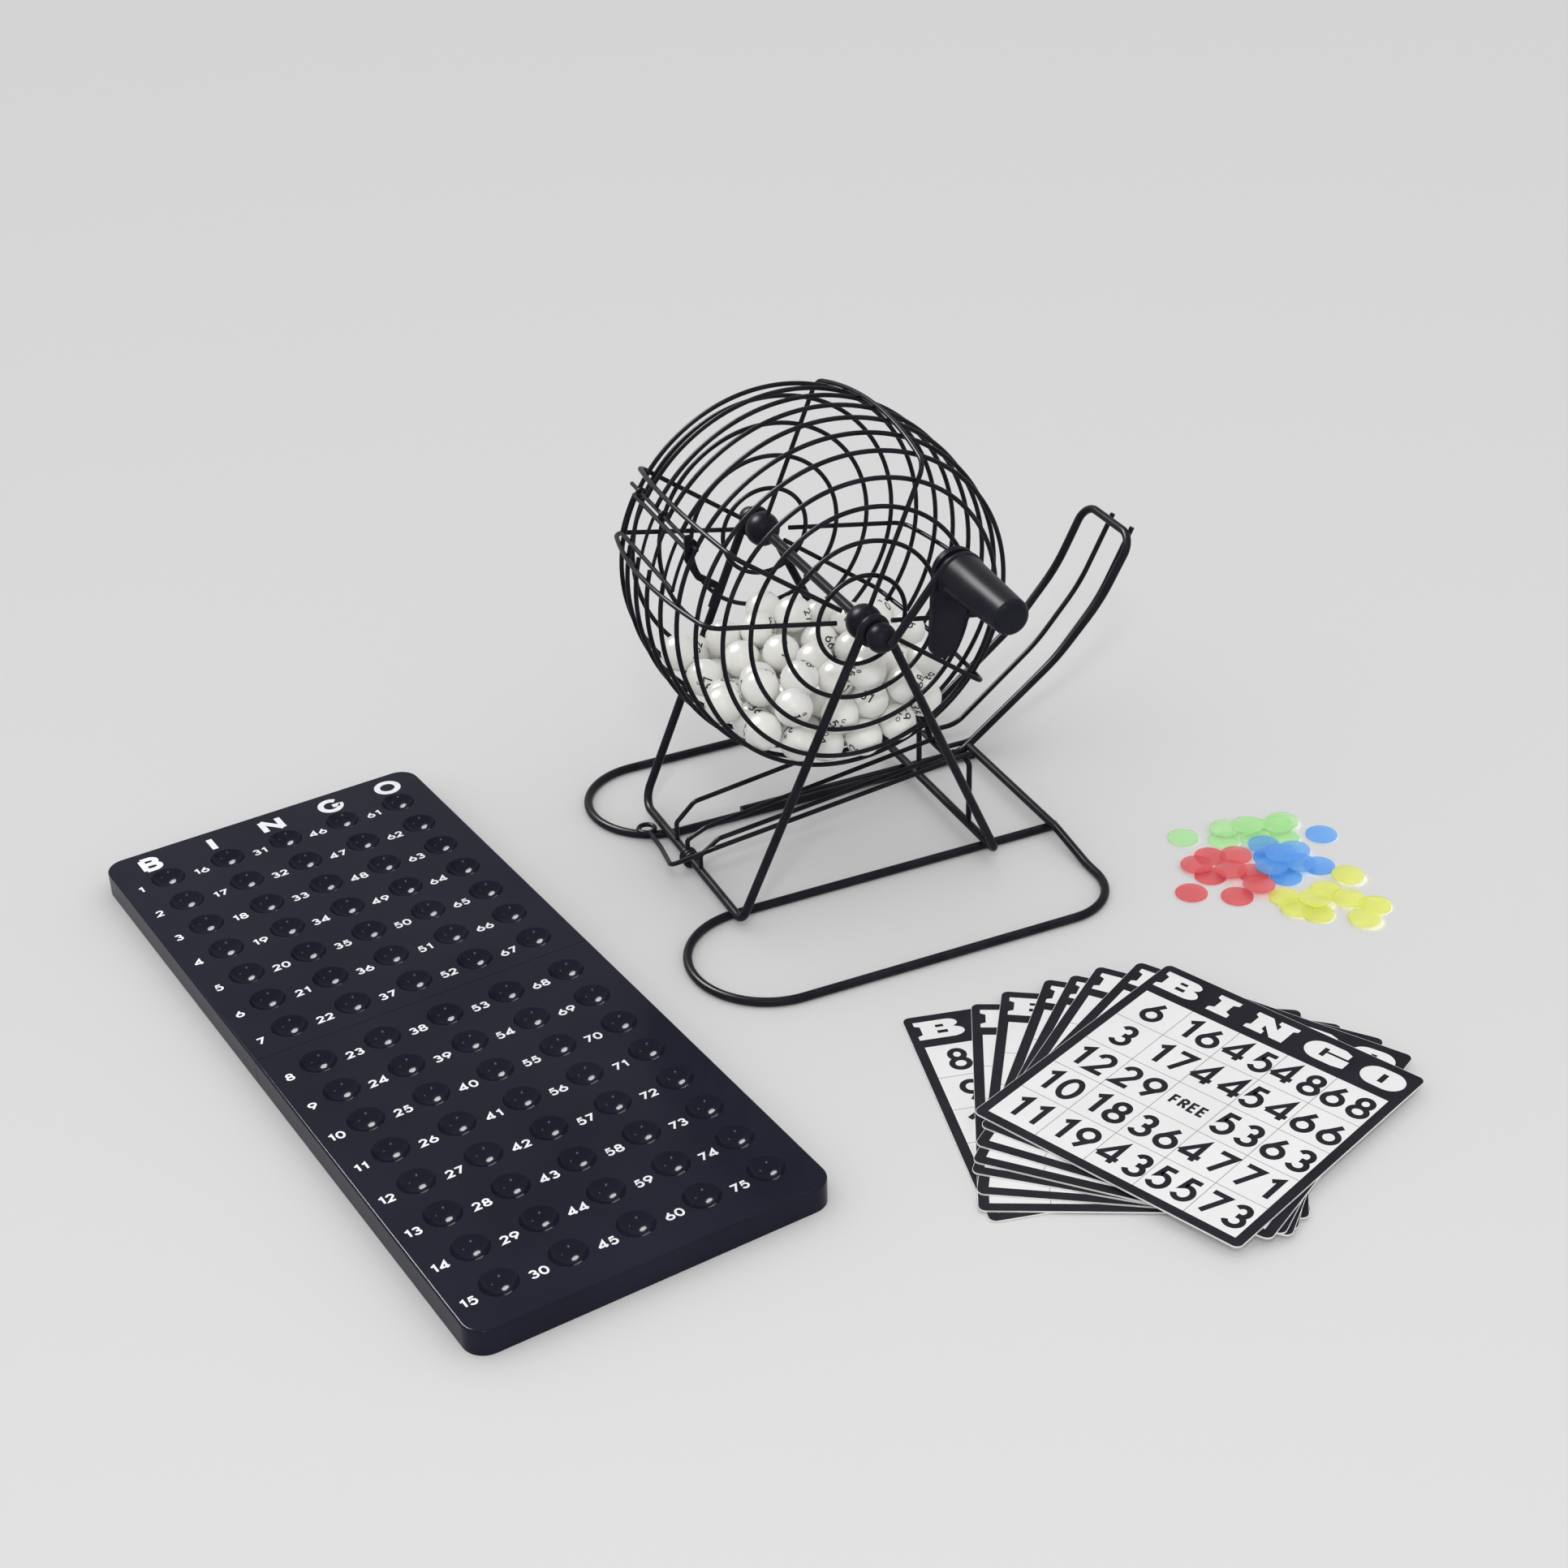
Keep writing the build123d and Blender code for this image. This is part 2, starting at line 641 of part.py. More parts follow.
# Trough: two side wires and two floor wires that slope down to the left, on a bracket at the right
trough_end_x = rail_x + bracket_wire
trough_knee_x = rail_x - trough_corner * 2
rear_low_z = trough_high_z - rear_fall
rear_wire_part = bent_wire(
    (at(trough_end_x, trough_rear_y, trough_high_z), at(-trough_knee_x, trough_rear_y, rear_low_z),
     at(-rail_x, trough_rear_y, (rear_low_z + rail_top) / 2), at(-rail_x, trough_rear_y, on_rail_z)),
    (trough_corner, trough_corner / 2), trough_wire)
with BuildPart() as trough_rear:
    add(rear_wire_part)
trough_rear.part.label = "trough_rear"
export_step(trough_rear.part, "parts/trough_rear.step")

# The front wire bends round the trough's low end as a stop and lies with its eyelet on the back loop
loop_middle_y = (back_bar_y + back_bar_high_y) / 2
eyelet_x = back_round_x - back_radius / 2
eyelet_y = loop_middle_y - back_radius * sqrt(3) / 2
front_wire_part = bent_wire(
    (at(trough_end_x, trough_front_y, trough_high_z), at(-rail_x, trough_front_y, trough_high_z - front_fall),
     at(stop_x, stop_y, stop_z), at(stop_low_x, stop_low_y, stop_low_z),
     at(eyelet_x, eyelet_y - eyelet_radius, base_wire + weld_gap + trough_wire / 2)),
    (stop_corner, stop_corner, stop_corner), trough_wire)
with BuildPart() as trough_front:
    add(front_wire_part)
    with Locations(at(eyelet_x, eyelet_y, base_wire + weld_gap + trough_wire / 2)):
        Torus(eyelet_radius, trough_wire / 2)
trough_front.part.label = "trough_front"
export_step(trough_front.part, "parts/trough_front.step")

# Bracket: posts on the right rail, shelves under the side wires and a dip under the floor wires
side_drop = (trough_wire + bracket_wire) / 2 + weld_gap
rear_slope = rear_fall / (rail_x + trough_knee_x)
front_slope = front_fall / (rail_x * 2)
shelf_slack = bracket_wire * max(rear_slope, front_slope)
shelf_z = trough_high_z - side_drop - shelf_slack
dip_z = shelf_z - bracket_drop
bracket_part = bent_wire(
    (at(rail_x, trough_rear_y + bracket_shelf, on_rail_z), at(rail_x, trough_rear_y + bracket_shelf, shelf_z),
     at(rail_x, trough_rear_y - bracket_shelf, shelf_z),
     at(rail_x, floor_far_y + bracket_shelf, dip_z), at(rail_x, floor_near_y - bracket_shelf, dip_z),
     at(rail_x, trough_front_y + bracket_shelf, shelf_z), at(rail_x, trough_front_y - bracket_shelf, shelf_z),
     at(rail_x, trough_front_y - bracket_shelf, on_rail_z)), bracket_corner, bracket_wire)
with BuildPart() as trough_bracket:
    add(bracket_part)
trough_bracket.part.label = "trough_bracket"
export_step(trough_bracket.part, "parts/trough_bracket.step")

# Wire wound on the left rail under the end of one floor wire
wrap_radius = (upright_wire + trough_wire) / 2 + weld_gap
wrap_step = trough_wire + weld_gap
wrap_ys = [floor_far_y - wrap_step * turn for turn in range(wrap_turns)]
with BuildPart() as rail_wrap:
    with Locations([Location(at(-rail_x, y, rail_z), (90, 0, 0)) for y in wrap_ys]):
        Torus(wrap_radius, trough_wire / 2)
rail_wrap.part.label = "rail_wrap"
export_step(rail_wrap.part, "parts/rail_wrap.step")

floor_high_z = dip_z + side_drop + shelf_slack
wrap_top = rail_z + wrap_radius + trough_wire / 2 + weld_gap
floor_runs = (
    (floor_near_y, floor_near_fall, on_rail_z, "trough_floor_near"),
    (floor_far_y, floor_far_fall, wrap_top, "trough_floor_far"),
)
for run_place, run_fall, end_height, run_name in floor_runs:
    low_z = floor_high_z - run_fall
    run_part = bent_wire(
        (at(trough_end_x, run_place, floor_high_z), at(-trough_knee_x, run_place, low_z),
         at(-rail_x, run_place, (low_z + end_height) / 2), at(-rail_x, run_place, end_height)),
        (trough_corner, trough_corner / 2), trough_wire)
    with BuildPart() as trough_floor:
        add(run_part)
    trough_floor.part.label = run_name
    export_step(trough_floor.part, f"parts/{run_name}.step")


# Master board: two hollow halves, each with dimples that hold the drawn balls
board_plane = Plane(origin=at(board_x, board_y, 0)).rotated((0, 0, board_turn))
dimple_ys = [dimple_first_y + dimple_pitch_y * row + (seam_extra if row >= far_rows else 0)
             for row in range(dimple_rows)]
seam_y = (dimple_ys[far_rows - 1] + dimple_ys[far_rows]) / 2
dimple_radius = ball_radius + dimple_play
dimple_centre_z = board_height - dimple_depth + dimple_radius


def board_half(near_edge, far_edge, rows, rounded, seam_side):
    # a half from its far edge to its near edge, measured down the board
    length = near_edge - far_edge
    middle = ((board_width) / 2, -(near_edge + far_edge) / 2)
    cups = [
        (dimple_first_x + dimple_pitch_x * column, -dimple_ys[row], dimple_centre_z)
        for row in rows for column in range(dimple_columns)
    ]
    cup_places = [board_plane.from_local_coords(cup) for cup in cups]
    with BuildPart() as hollow:
        with BuildSketch(board_plane):
            with Locations(middle):
                Rectangle(board_width - board_wall * 2, length - board_wall * 2)
            inner_ends = vertices().sort_by(Axis((0, 0, 0), board_plane.y_dir))[rounded]
            fillet(inner_ends, board_corner - board_wall)
        extrude(amount=board_height - board_wall)
        with Locations(cup_places):
            Sphere(dimple_radius + cup_wall, mode=Mode.SUBTRACT)
    with BuildPart() as shell:
        with BuildSketch(board_plane):
            with Locations(middle):
                Rectangle(board_width, length)
            ends = vertices().sort_by(Axis((0, 0, 0), board_plane.y_dir))[rounded]
            fillet(ends, board_corner)
        extrude(amount=board_height)
        top = shell.faces().sort_by(Axis.Z)[-1]
        seam_edge = top.edges().sort_by(Axis((0, 0, 0), board_plane.y_dir))[seam_side]
        fillet([edge for edge in top.edges() if edge != seam_edge], board_edge)
        add(hollow.part, mode=Mode.SUBTRACT)
        with Locations(cup_places):
            Sphere(dimple_radius, mode=Mode.SUBTRACT)
    return shell.part


far_half_part = board_half(seam_y - board_gap / 2, 0, range(far_rows), slice(-2, None), 0)
with BuildPart() as board_far:
    add(far_half_part)
board_far.part.label = "board_far"
export_step(board_far.part, "parts/board_far.step")

near_rows = range(far_rows, dimple_rows)
near_half_part = board_half(board_length, seam_y + board_gap / 2, near_rows, slice(0, 2), -1)
with BuildPart() as board_near:
    add(near_half_part)
board_near.part.label = "board_near"
export_step(board_near.part, "parts/board_near.step")

# Cards, one on another
for count, (share_x, share_y, turn) in enumerate(fan_shares):
    corner_place = at(fan_x + card_length * share_x, fan_y + card_length * share_y,
                      (card_thick + weld_gap) * count)
    card_plane = Plane(origin=corner_place).rotated((0, 0, turn))
    with BuildPart() as card:
        with BuildSketch(card_plane):
            with Locations((card_width / 2, -card_length / 2)):
                RectangleRounded(card_width, card_length, card_corner)
        extrude(amount=card_thick)
    card.part.label = f"card_{count + 1}"
    export_step(card.part, f"parts/card_{count + 1}.step")

# Chips in four heaps
for colour, shares in (("green", green_shares), ("blue", blue_shares), ("red", red_shares),
                       ("yellow", yellow_shares)):
    with BuildPart() as chips:
        for share_x, share_y, layer in shares:
            chip_plane = Plane(origin=at(chips_x + chip_diameter * share_x, chips_y + chip_diameter * share_y,
                                         (chip_thick + weld_gap) * layer))
            with BuildSketch(chip_plane):
                Circle(chip_diameter / 2)
            extrude(amount=chip_thick)
        chamfer(chips.edges().filter_by(GeomType.CIRCLE), chip_edge)
    chips.part.label = f"chips_{colour}"
    export_step(chips.part, f"parts/chips_{colour}.step")
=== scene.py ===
import math

import bpy
import numpy as np
from mathutils import Matrix, Vector


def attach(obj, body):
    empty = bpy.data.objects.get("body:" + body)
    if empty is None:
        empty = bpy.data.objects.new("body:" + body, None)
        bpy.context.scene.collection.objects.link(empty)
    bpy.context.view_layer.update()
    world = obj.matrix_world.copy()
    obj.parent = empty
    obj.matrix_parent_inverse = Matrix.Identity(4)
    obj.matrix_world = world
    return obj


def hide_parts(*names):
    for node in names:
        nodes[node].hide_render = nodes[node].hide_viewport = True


# Bingo set: wire ball cage on its stand, master board, fan of cards and chips.
# The pieces' lengths are in millimetres, and their places are measured from the point on the table under
# the cage's middle. The camera's place is in millimetres in the shared frame. Materials, floor and lamps
# are in metres.
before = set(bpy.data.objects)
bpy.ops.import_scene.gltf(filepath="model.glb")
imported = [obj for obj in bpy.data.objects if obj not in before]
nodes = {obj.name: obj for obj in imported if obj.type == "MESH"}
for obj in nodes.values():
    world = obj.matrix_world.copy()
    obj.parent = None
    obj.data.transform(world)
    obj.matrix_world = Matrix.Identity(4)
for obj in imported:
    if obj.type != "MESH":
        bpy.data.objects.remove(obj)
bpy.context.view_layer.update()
mm = 0.001
standPlace = np.array((56.92, 135.11, 0.0))
gameLetters = "BINGO"
perLetter = 15
# keeps a division away from zero
tiny = 1e-9


def inFrame(points):
    # millimetres from the stand's point to metres in the shared frame
    return (np.asarray(points, float) + standPlace) * mm


# camera
cameraValues = {"place": (-513.0, -1090.8, 848.6), "turn": 24.12, "tilt": 30.95, "roll": -1.61,
                "lens": 60.09, "sensor": 36.0, "clipEnd": 50.0}


def makeCamera(values):
    # columns of the turned frame: image right, image up and backwards along the line of sight
    turn, tilt, roll = (math.radians(values[key]) for key in ("turn", "tilt", "roll"))
    right = Vector((math.cos(turn), -math.sin(turn), 0))
    ahead = Vector((math.sin(turn) * math.cos(tilt), math.cos(turn) * math.cos(tilt), -math.sin(tilt)))
    up = right.cross(ahead)
    imageRight = right * math.cos(roll) + up * math.sin(roll)
    imageUp = up * math.cos(roll) - right * math.sin(roll)
    matrix = Matrix((imageRight, imageUp, -ahead)).transposed().to_4x4()
    matrix.translation = Vector(values["place"]) * mm
    data = bpy.data.cameras.new("photoCamera")
    data.lens = values["lens"]
    data.sensor_width = values["sensor"]
    data.sensor_fit = "HORIZONTAL"
    data.clip_end = values["clipEnd"]
    camera = bpy.data.objects.new("photoCamera", data)
    camera.matrix_world = matrix
    bpy.context.scene.collection.objects.link(camera)
    bpy.context.scene.camera = camera


makeCamera(cameraValues)
bpy.context.scene.view_settings.view_transform = "Standard"
print("camera made")


# node groups
def newGroup(name, inputs, outputs):
    group = bpy.data.node_groups.new(name, "ShaderNodeTree")
    for socketName, kind, value in inputs:
        socket = group.interface.new_socket(socketName, in_out="INPUT", socket_type=kind)
        socket.default_value = value
    for socketName, kind in outputs:
        group.interface.new_socket(socketName, in_out="OUTPUT", socket_type=kind)
    return group, group.nodes.new("NodeGroupInput"), group.nodes.new("NodeGroupOutput")


def mathNode(tree, operation, *values):
    node = tree.nodes.new("ShaderNodeMath")
    node.operation = operation
    for place, value in enumerate(values):
        if isinstance(value, (int, float)):
            node.inputs[place].default_value = value
        else:
            tree.links.new(value, node.inputs[place])
    return node.outputs[0]


def noiseNode(tree, coordinates, scale, detail):
    node = tree.nodes.new("ShaderNodeTexNoise")
    node.inputs["Detail"].default_value = detail
    tree.links.new(coordinates, node.inputs["Vector"])
    tree.links.new(scale, node.inputs["Scale"])
    return node.outputs["Fac"]


surfaceValues = {"driftDetail": 4.0, "driftLow": 0.35, "driftHigh": 0.65, "driftMiddle": 0.5,
                 "grainDetail": 2.0, "bumpStrength": 0.6, "bumpDistance": 1.0}


def makeSurfaceGroup(values):
    # colour drifts between two tones, roughness drifts with it, and fine grain gives the height
    group, given, made = newGroup(
        "surfaceVariation",
        [("Tone", "NodeSocketColor", (0.5, 0.5, 0.5, 1)),
         ("Second Tone", "NodeSocketColor", (0.5, 0.5, 0.5, 1)),
         ("Drift Scale", "NodeSocketFloat", 20.0), ("Roughness", "NodeSocketFloat", 0.3),
         ("Roughness Spread", "NodeSocketFloat", 0.1), ("Grain Scale", "NodeSocketFloat", 900.0),
         ("Grain Height", "NodeSocketFloat", 0.00001)],
        [("Color", "NodeSocketColor"), ("Roughness", "NodeSocketFloat"), ("Height", "NodeSocketFloat")])
    coordinates = group.nodes.new("ShaderNodeTexCoord").outputs["Object"]
    drift = noiseNode(group, coordinates, given.outputs["Drift Scale"], values["driftDetail"])
    spread = group.nodes.new("ShaderNodeMapRange")
    spread.inputs["From Min"].default_value = values["driftLow"]
    spread.inputs["From Max"].default_value = values["driftHigh"]
    group.links.new(drift, spread.inputs["Value"])
    mix = group.nodes.new("ShaderNodeMix")
    mix.data_type = "RGBA"
    group.links.new(spread.outputs["Result"], mix.inputs["Factor"])
    group.links.new(given.outputs["Tone"], mix.inputs["A"])
    group.links.new(given.outputs["Second Tone"], mix.inputs["B"])
    group.links.new(mix.outputs["Result"], made.inputs["Color"])
    centred = mathNode(group, "SUBTRACT", drift, values["driftMiddle"])
    rough = mathNode(group, "MULTIPLY_ADD", centred, given.outputs["Roughness Spread"],
                     given.outputs["Roughness"])
    group.links.new(rough, made.inputs["Roughness"])
    grain = noiseNode(group, coordinates, given.outputs["Grain Scale"], values["grainDetail"])
    group.links.new(mathNode(group, "MULTIPLY", grain, given.outputs["Grain Height"]), made.inputs["Height"])
    return group


surfaceGroup = makeSurfaceGroup(surfaceValues)


def newMaterial(name, values):
    # a Principled surface fed by the shared variation group; constant values go on its own sockets
    material = bpy.data.materials.new(name)
    material.use_nodes = True
    tree = material.node_tree
    shader = tree.nodes["Principled BSDF"]
    surface = tree.nodes.new("ShaderNodeGroup")
    surface.node_tree = surfaceGroup
    surface.inputs["Tone"].default_value = (*values["tone"], 1)
    surface.inputs["Second Tone"].default_value = (*values["secondTone"], 1)
    for key, socket in (("driftScale", "Drift Scale"), ("roughness", "Roughness"),
                        ("roughnessSpread", "Roughness Spread"), ("grainScale", "Grain Scale"),
                        ("grainHeight", "Grain Height")):
        if key in values:
            surface.inputs[socket].default_value = values[key]
    tree.links.new(surface.outputs["Color"], shader.inputs["Base Color"])
    tree.links.new(surface.outputs["Roughness"], shader.inputs["Roughness"])
    bump = tree.nodes.new("ShaderNodeBump")
    bump.inputs["Distance"].default_value = surfaceValues["bumpDistance"]
    bump.inputs["Strength"].default_value = surfaceValues["bumpStrength"]
    tree.links.new(surface.outputs["Height"], bump.inputs["Height"])
    tree.links.new(bump.outputs["Normal"], shader.inputs["Normal"])
    for key, socket in (("specular", "Specular IOR Level"), ("ior", "IOR"), ("alpha", "Alpha"),
                        ("transmission", "Transmission Weight"), ("subsurface", "Subsurface Weight"),
                        ("subsurfaceScale", "Subsurface Scale"), ("subsurfaceRadius", "Subsurface Radius")):
        if key in values:
            shader.inputs[socket].default_value = values[key]
    return material


chipFinish = {"driftScale": 60.0, "roughness": 0.12, "roughnessSpread": 0.08, "transmission": 0.45,
              "ior": 1.35, "alpha": 0.55}
materialValues = {
    "wireCoat": {"tone": (0.008, 0.008, 0.012), "secondTone": (0.014, 0.014, 0.020), "driftScale": 60.0,
                 "roughness": 0.30, "roughnessSpread": 0.14, "grainScale": 700.0, "grainHeight": 0.00006,
                 "specular": 0.09},
    "blackPlastic": {"tone": (0.011, 0.011, 0.017), "secondTone": (0.017, 0.017, 0.025), "driftScale": 40.0,
                     "roughness": 0.34, "roughnessSpread": 0.1, "grainScale": 1400.0, "grainHeight": 0.00003,
                     "specular": 0.06},
    "boardPlastic": {"tone": (0.011, 0.012, 0.023), "secondTone": (0.015, 0.016, 0.029), "driftScale": 14.0,
                     "roughness": 0.13, "roughnessSpread": 0.04, "grainScale": 1100.0, "grainHeight": 0.00001,
                     "specular": 0.07},
    "boardPaint": {"tone": (0.82, 0.84, 0.86), "secondTone": (0.70, 0.73, 0.76), "driftScale": 260.0,
                   "roughness": 0.45, "roughnessSpread": 0.1, "grainScale": 1500.0, "grainHeight": 0.00001},
    "ballPlastic": {"tone": (0.92, 0.915, 0.87), "secondTone": (0.95, 0.945, 0.91), "driftScale": 55.0,
                    "roughness": 0.32, "roughnessSpread": 0.12, "grainScale": 900.0, "grainHeight": 0.00002,
                    "subsurface": 0.15, "subsurfaceScale": 0.004, "subsurfaceRadius": (1.0, 0.8, 0.6)},
    "ballInk": {"tone": (0.015, 0.015, 0.018), "secondTone": (0.03, 0.03, 0.034), "driftScale": 500.0,
                "roughness": 0.4, "roughnessSpread": 0.1},
    "cardStock": {"tone": (0.78, 0.78, 0.77), "secondTone": (0.70, 0.70, 0.69), "driftScale": 120.0,
                  "roughness": 0.7, "roughnessSpread": 0.1, "grainScale": 2500.0, "grainHeight": 0.00003},
    "cardBlack": {"tone": (0.010, 0.010, 0.016), "secondTone": (0.015, 0.015, 0.023), "driftScale": 50.0,
                  "roughness": 0.50, "roughnessSpread": 0.1, "grainScale": 2600.0, "grainHeight": 0.00002,
                  "specular": 0.07},
    "cardWhite": {"tone": (0.86, 0.86, 0.86), "secondTone": (0.82, 0.82, 0.825), "driftScale": 30.0,
                  "roughness": 0.50, "roughnessSpread": 0.1, "grainScale": 2600.0, "grainHeight": 0.00002,
                  "specular": 0.2},
    "cardLine": {"tone": (0.25, 0.25, 0.26), "secondTone": (0.34, 0.34, 0.35), "driftScale": 400.0,
                 "roughness": 0.45, "roughnessSpread": 0.1},
    "chipGreen": {"tone": (0.50, 0.86, 0.40), "secondTone": (0.56, 0.90, 0.46), **chipFinish},
    "chipBlue": {"tone": (0.10, 0.42, 0.92), "secondTone": (0.14, 0.50, 0.95), **chipFinish},
    "chipRed": {"tone": (0.80, 0.07, 0.09), "secondTone": (0.86, 0.10, 0.11), **chipFinish},
    "chipYellow": {"tone": (0.84, 0.88, 0.14), "secondTone": (0.88, 0.92, 0.20), **chipFinish},
}
materials = {name: newMaterial(name, values) for name, values in materialValues.items()}
print("materials made")


def finishOf(nodeName):
    # which material a CAD node gets, by its name
    if nodeName.startswith("balls_"):
        return "ballPlastic"
    if nodeName.startswith("board_"):
        return "boardPlastic"
    if nodeName.startswith("card_"):
        return "cardStock"
    if nodeName.startswith("chips_"):
        return "chip" + nodeName.split("_")[1].capitalize()
    if nodeName in ("near_hub", "near_cap", "far_hub", "crank_plate", "grip"):
        return "blackPlastic"
    return "wireCoat"


for nodeName, node in nodes.items():
    node.data.materials.clear()
    node.data.materials.append(materials[finishOf(nodeName)])


# mesh helpers
def meshPiece(name, points, faces, finishes, body, faceFinish, smooth=False):
    # one mesh at the origin: each face lists the numbers of its points, and has a finish by its number
    mesh = bpy.data.meshes.new(name)
    mesh.from_pydata(inFrame(points).tolist(), [], [list(face) for face in faces])
    for finish in finishes:
        mesh.materials.append(materials[finish])
    mesh.polygons.foreach_set("material_index", np.asarray(faceFinish, np.int32))
    mesh.polygons.foreach_set("use_smooth", np.full(len(mesh.polygons), smooth))
    mesh.update()
    piece = bpy.data.objects.new(name, mesh)
    bpy.context.scene.collection.objects.link(piece)
    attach(piece, body)
    return piece


# lettering
strokeValues = {"bowStep": 12.0, "bowLeast": 4, "mitreLeast": 0.36}


def lineOf(*corners):
    return np.array(corners, float)


def bowOf(middleX, middleY, reachX, reachY, start, end):
    # part of an ellipse round its middle, from one angle to another, in degrees
    count = max(strokeValues["bowLeast"], int(abs(end - start) / strokeValues["bowStep"]) + 1)
    turns = np.radians(np.linspace(start, end, count))
    return np.column_stack((middleX + reachX * np.cos(turns), middleY + reachY * np.sin(turns)))


# numbers and letters, one unit high: width, and the lines along the middle of their strokes
glyphs = {
    "0": (0.60, [bowOf(0.30, 0.5, 0.30, 0.5, 0, 360)]),
    "1": (0.38, [lineOf((0.05, 0.82), (0.31, 1.0), (0.31, 0.0))]),
    "2": (0.56, [np.vstack((bowOf(0.28, 0.72, 0.26, 0.28, 172, -38), lineOf((0.0, 0.0), (0.56, 0.0))))]),
    "3": (0.56, [np.vstack((bowOf(0.27, 0.75, 0.23, 0.25, 160, -90), lineOf((0.22, 0.5)))),
                 np.vstack((lineOf((0.22, 0.53)), bowOf(0.27, 0.265, 0.28, 0.265, 90, -158)))]),
    "4": (0.70, [lineOf((0.52, 0.0), (0.52, 1.0), (-0.04, 0.24)), lineOf((-0.04, 0.24), (0.72, 0.24))]),
    "5": (0.56, [np.vstack((lineOf((0.52, 1.0), (0.16, 1.0), (0.10, 0.59)),
                            bowOf(0.27, 0.33, 0.29, 0.33, 112, -152)))]),
    "6": (0.60, [bowOf(0.30, 0.30, 0.30, 0.30, 0, 360), lineOf((0.04, 0.42), (0.42, 1.0))]),
    "7": (0.56, [lineOf((0.0, 1.0), (0.56, 1.0), (0.14, 0.0))]),
    "8": (0.58, [bowOf(0.29, 0.76, 0.23, 0.24, 0, 360), bowOf(0.29, 0.26, 0.29, 0.26, 0, 360)]),
    "9": (0.60, [bowOf(0.30, 0.70, 0.30, 0.30, 0, 360), lineOf((0.56, 0.58), (0.18, 0.0))]),
    "B": (0.60, [lineOf((0.0, 0.0), (0.0, 1.0)),
                 np.vstack((lineOf((0.0, 1.0)), bowOf(0.30, 0.76, 0.24, 0.24, 90, -90), lineOf((0.0, 0.52)))),
                 np.vstack((lineOf((0.0, 0.52)), bowOf(0.32, 0.26, 0.26, 0.26, 90, -90),
                            lineOf((0.0, 0.0))))]),
    "I": (0.0, [lineOf((0.0, 0.0), (0.0, 1.0))]),
    "N": (0.70, [lineOf((0.0, 0.0), (0.0, 1.0)), lineOf((0.0, 1.0), (0.70, 0.0)),
                 lineOf((0.70, 0.0), (0.70, 1.0))]),
    "G": (0.76, [np.vstack((bowOf(0.40, 0.5, 0.40, 0.5, 45, 352), lineOf((0.78, 0.44), (0.46, 0.44))))]),
    "O": (0.84, [bowOf(0.42, 0.5, 0.42, 0.5, 0, 360)]),
    "F": (0.44, [lineOf((0.0, 0.0), (0.0, 1.0), (0.46, 1.0)), lineOf((0.0, 0.52), (0.38, 0.52))]),
    "R": (0.50, [lineOf((0.0, 0.0), (0.0, 1.0)),
                 np.vstack((lineOf((0.0, 1.0)), bowOf(0.24, 0.76, 0.24, 0.24, 90, -90), lineOf((0.0, 0.52)))),
                 lineOf((0.24, 0.52), (0.52, 0.0))]),
    "E": (0.44, [lineOf((0.46, 1.0), (0.0, 1.0), (0.0, 0.0), (0.46, 0.0)),
                 lineOf((0.0, 0.52), (0.40, 0.52))]),
}
# slab letters, one unit high: width, outline and the dark openings in it
slabShapes = {
    "B": (1.62, np.vstack((lineOf((0.0, 1.0)), bowOf(1.10, 0.765, 0.38, 0.235, 90, -60),
                           bowOf(1.18, 0.275, 0.44, 0.275, 55, -90),
                           lineOf((0.0, 0.0), (0.0, 0.20), (0.18, 0.28), (0.18, 0.72), (0.0, 0.80)))),
          [((0.70, 0.60), (0.98, 0.74)), ((0.70, 0.26), (1.06, 0.42))]),
    "I": (1.08, lineOf((0.0, 1.0), (1.08, 1.0), (1.08, 0.80), (0.84, 0.72), (0.84, 0.28), (1.08, 0.20),
                       (1.08, 0.0), (0.0, 0.0), (0.0, 0.20), (0.24, 0.28), (0.24, 0.72), (0.0, 0.80)), []),
    "N": (1.84, lineOf((0.0, 1.0), (0.66, 1.0), (1.16, 0.50), (1.16, 0.76), (1.00, 0.83), (1.00, 1.0),
                       (1.84, 1.0), (1.84, 0.83), (1.68, 0.76), (1.68, 0.0), (1.14, 0.0), (0.64, 0.50),
                       (0.64, 0.25), (0.80, 0.18), (0.80, 0.0), (0.0, 0.0), (0.0, 0.18), (0.16, 0.26),
                       (0.16, 0.74), (0.0, 0.82)), []),
    "G": (1.70, np.vstack((lineOf((1.60, 0.60), (1.60, 0.88), (1.30, 1.0)),
                           bowOf(0.62, 0.5, 0.62, 0.5, 90, 270),
                           lineOf((1.30, 0.0), (1.70, 0.08), (1.70, 0.52)))),
          [((0.64, 0.26), (0.82, 0.74)), ((0.82, 0.50), (1.72, 0.60))]),
    "O": (1.60, np.vstack((bowOf(0.56, 0.5, 0.56, 0.5, 90, 270), bowOf(1.04, 0.5, 0.56, 0.5, -90, 90))),
          [((0.70, 0.26), (0.90, 0.74))]),
}


